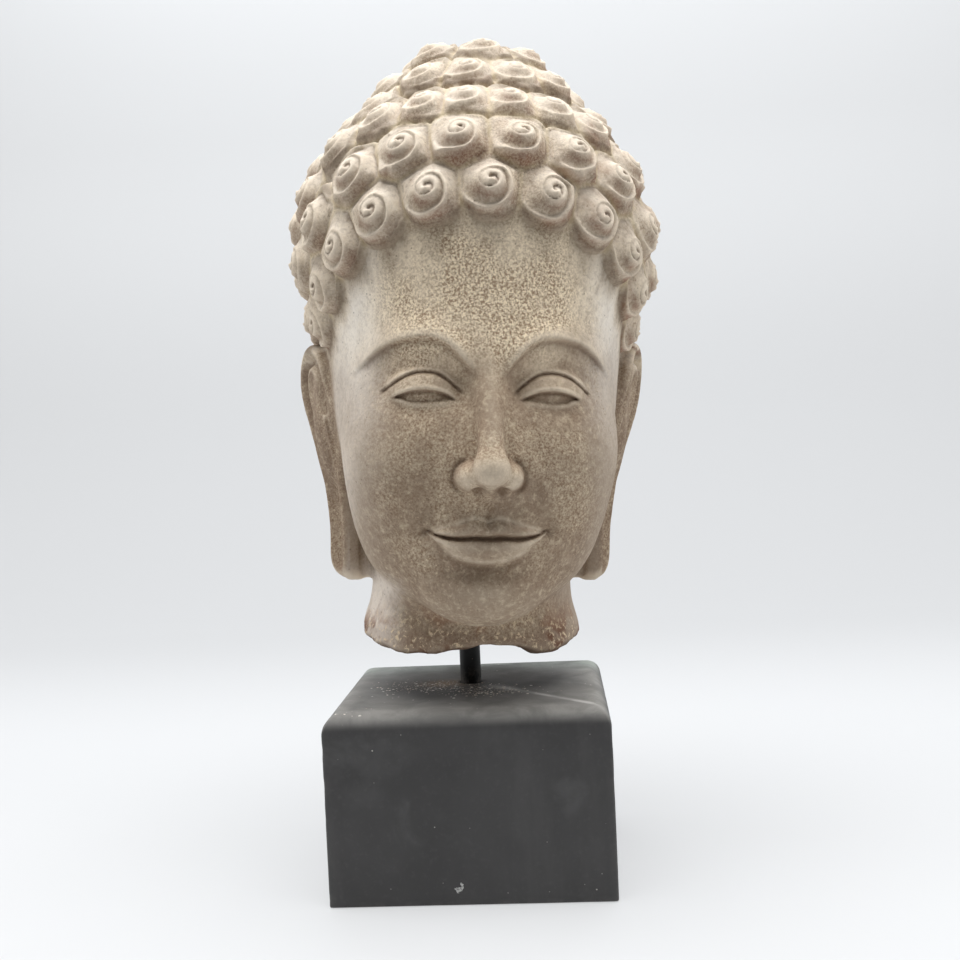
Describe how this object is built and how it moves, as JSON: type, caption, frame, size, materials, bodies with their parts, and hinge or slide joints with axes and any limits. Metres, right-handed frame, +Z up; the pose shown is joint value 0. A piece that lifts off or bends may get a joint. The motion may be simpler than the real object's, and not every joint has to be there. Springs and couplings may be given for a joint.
{
  "type": "stone buddha head on stand",
  "caption": "Carved stone head with snail-curl hair, a tall crown and long ears, broken off at the neck, held on a black rod over a black block.",
  "frame": {"origin": "middle of the block's underside", "axes": "+Z up along the rod, -Y towards the block's front face, +X to the figure's left"},
  "size_m": [0.2153, 0.2495, 0.4718],
  "materials": {
    "stone": "matte carved sandstone, rubbed pale on the high places, worn and chipped",
    "rod": "satin black",
    "base": "matte black paint, dusty on top"
  },
  "bodies": {
    "root": {"head": "stone", "rod": "rod", "base": "base"}
  },
  "joints": []
}
